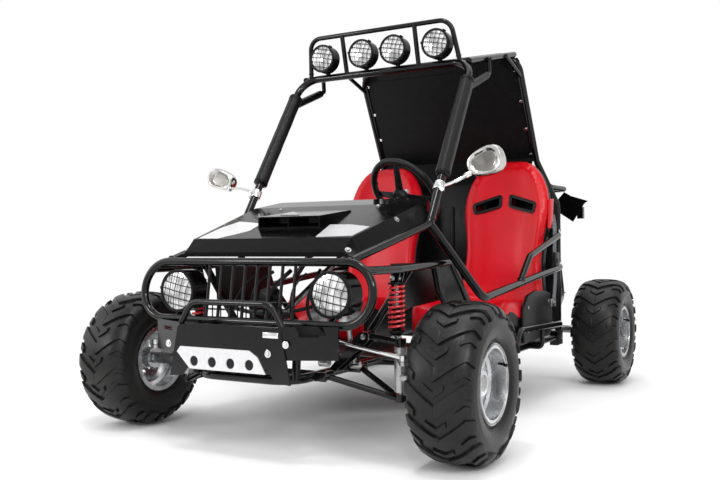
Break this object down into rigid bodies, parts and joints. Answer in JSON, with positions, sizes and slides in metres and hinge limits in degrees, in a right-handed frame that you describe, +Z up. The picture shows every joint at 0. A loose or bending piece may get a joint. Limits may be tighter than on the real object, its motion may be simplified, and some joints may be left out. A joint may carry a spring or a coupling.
{
  "type": "two-seat dune buggy",
  "caption": "Open two-seat off-road buggy with a tube frame, roof lamps, grille guard, bucket seats, steered front wheels and a driven rear axle.",
  "frame": {"origin": "on the ground below the middle of the whole length and width", "axes": "-Y ahead, +X the vehicle's left, +Z up"},
  "size_m": [1.288, 1.8672, 1.285],
  "materials": {
    "tyre": "moulded rubber with open chevron lugs",
    "rim": "silver painted",
    "frame": "gloss black powder coat",
    "body": "gloss black with silver and grey patches",
    "panel": "satin black sheet",
    "lamp": "black shells with bright mesh guards",
    "lens": "clear ribbed",
    "chrome": "bright plated",
    "insert": "silver painted sheet",
    "foam": "ribbed black foam sleeve",
    "seat": "red vinyl",
    "spring": "red painted coil",
    "grip": "black moulded grip",
    "steel": "bare and zinc plated",
    "engine": "cast grey"
  },
  "bodies": {
    "chassis": {"floor_frame": "frame", "grille_guard": "frame", "roll_cage": "frame", "side_guards": "frame", "front_frame": "frame", "side_panels": "panel", "sill_bars": "frame", "rear_frame": "frame", "floor_pan": "panel", "headlamp_shells": "lamp", "headlamp_lenses": "lens", "roof_lamp_shells": "lamp", "roof_lamp_lenses": "lens", "light_rack": "frame", "bumper": "frame", "bumper_insert": "insert", "hood": "body", "hood_scoop": "body", "pillar_pads": "foam", "grab_handles": "foam", "roof_panels": "panel", "mirrors": "chrome", "seat_left": "seat", "seat_right": "seat", "engine": "engine", "muffler": "steel", "front_arms": "frame", "front_shocks": "spring", "rear_shocks": "spring", "swing_arm": "frame"},
    "steering": {"steering_wheel": "grip", "steering_column": "steel"},
    "rack": {"steering_rack": "steel"},
    "knuckle_left": {"knuckle_left": "steel"},
    "knuckle_right": {"knuckle_right": "steel"},
    "tie_rod_left": {"tie_rod_left": "chrome"},
    "tie_rod_right": {"tie_rod_right": "chrome"},
    "front_wheel_left": {"front_tyre_left": "tyre", "front_rim_left": "rim"},
    "front_wheel_right": {"front_tyre_right": "tyre", "front_rim_right": "rim"},
    "rear_wheels": {"rear_axle": "steel", "rear_tyre_left": "tyre", "rear_tyre_right": "tyre", "rear_rim_left": "rim", "rear_rim_right": "rim"}
  },
  "joints": [
    {"name": "steering_turn", "type": "hinge", "parent": "chassis", "child": "steering", "pos_m": [0.145, -0.204, 0.712], "axis": [0.2215, 0.7869, 0.576], "range_deg": [-100, 100]},
    {"name": "rack_slide", "type": "slide", "parent": "chassis", "child": "rack", "axis": [1, 0, 0], "range_m": [-0.036, 0.036]},
    {"name": "knuckle_left_turn", "type": "hinge", "parent": "chassis", "child": "knuckle_left", "pos_m": [0.36, -0.669, 0.203], "axis": [0, 0, 1], "range_deg": [-25, 25]},
    {"name": "tie_rod_left_turn", "type": "hinge", "parent": "knuckle_left", "child": "tie_rod_left", "pos_m": [0.41, -0.751, 0.264], "axis": [0, 0, 1], "range_deg": [-21, 21]},
    {"name": "front_wheel_left_spin", "type": "hinge", "parent": "knuckle_left", "child": "front_wheel_left", "pos_m": [0.54, -0.669, 0.203], "axis": [1, 0, 0], "continuous": true},
    {"name": "knuckle_right_turn", "type": "hinge", "parent": "chassis", "child": "knuckle_right", "pos_m": [-0.36, -0.669, 0.203], "axis": [0, 0, 1], "range_deg": [-25, 25]},
    {"name": "tie_rod_right_turn", "type": "hinge", "parent": "knuckle_right", "child": "tie_rod_right", "pos_m": [-0.41, -0.751, 0.264], "axis": [0, 0, 1], "range_deg": [-21, 21]},
    {"name": "front_wheel_right_spin", "type": "hinge", "parent": "knuckle_right", "child": "front_wheel_right", "pos_m": [-0.54, -0.669, 0.203], "axis": [1, 0, 0], "continuous": true},
    {"name": "rear_wheels_spin", "type": "hinge", "parent": "chassis", "child": "rear_wheels", "pos_m": [0, 0.731, 0.203], "axis": [1, 0, 0], "continuous": true}
  ],
  "couplings": [
    {"joint": "rack_slide", "follows": "steering_turn", "m_per_rad": 0.02},
    {"joint": "knuckle_left_turn", "follows": "steering_turn", "ratio": 0.25},
    {"joint": "tie_rod_left_turn", "follows": "steering_turn", "ratio": -0.205},
    {"joint": "knuckle_right_turn", "follows": "steering_turn", "ratio": 0.25},
    {"joint": "tie_rod_right_turn", "follows": "steering_turn", "ratio": -0.205}
  ]
}
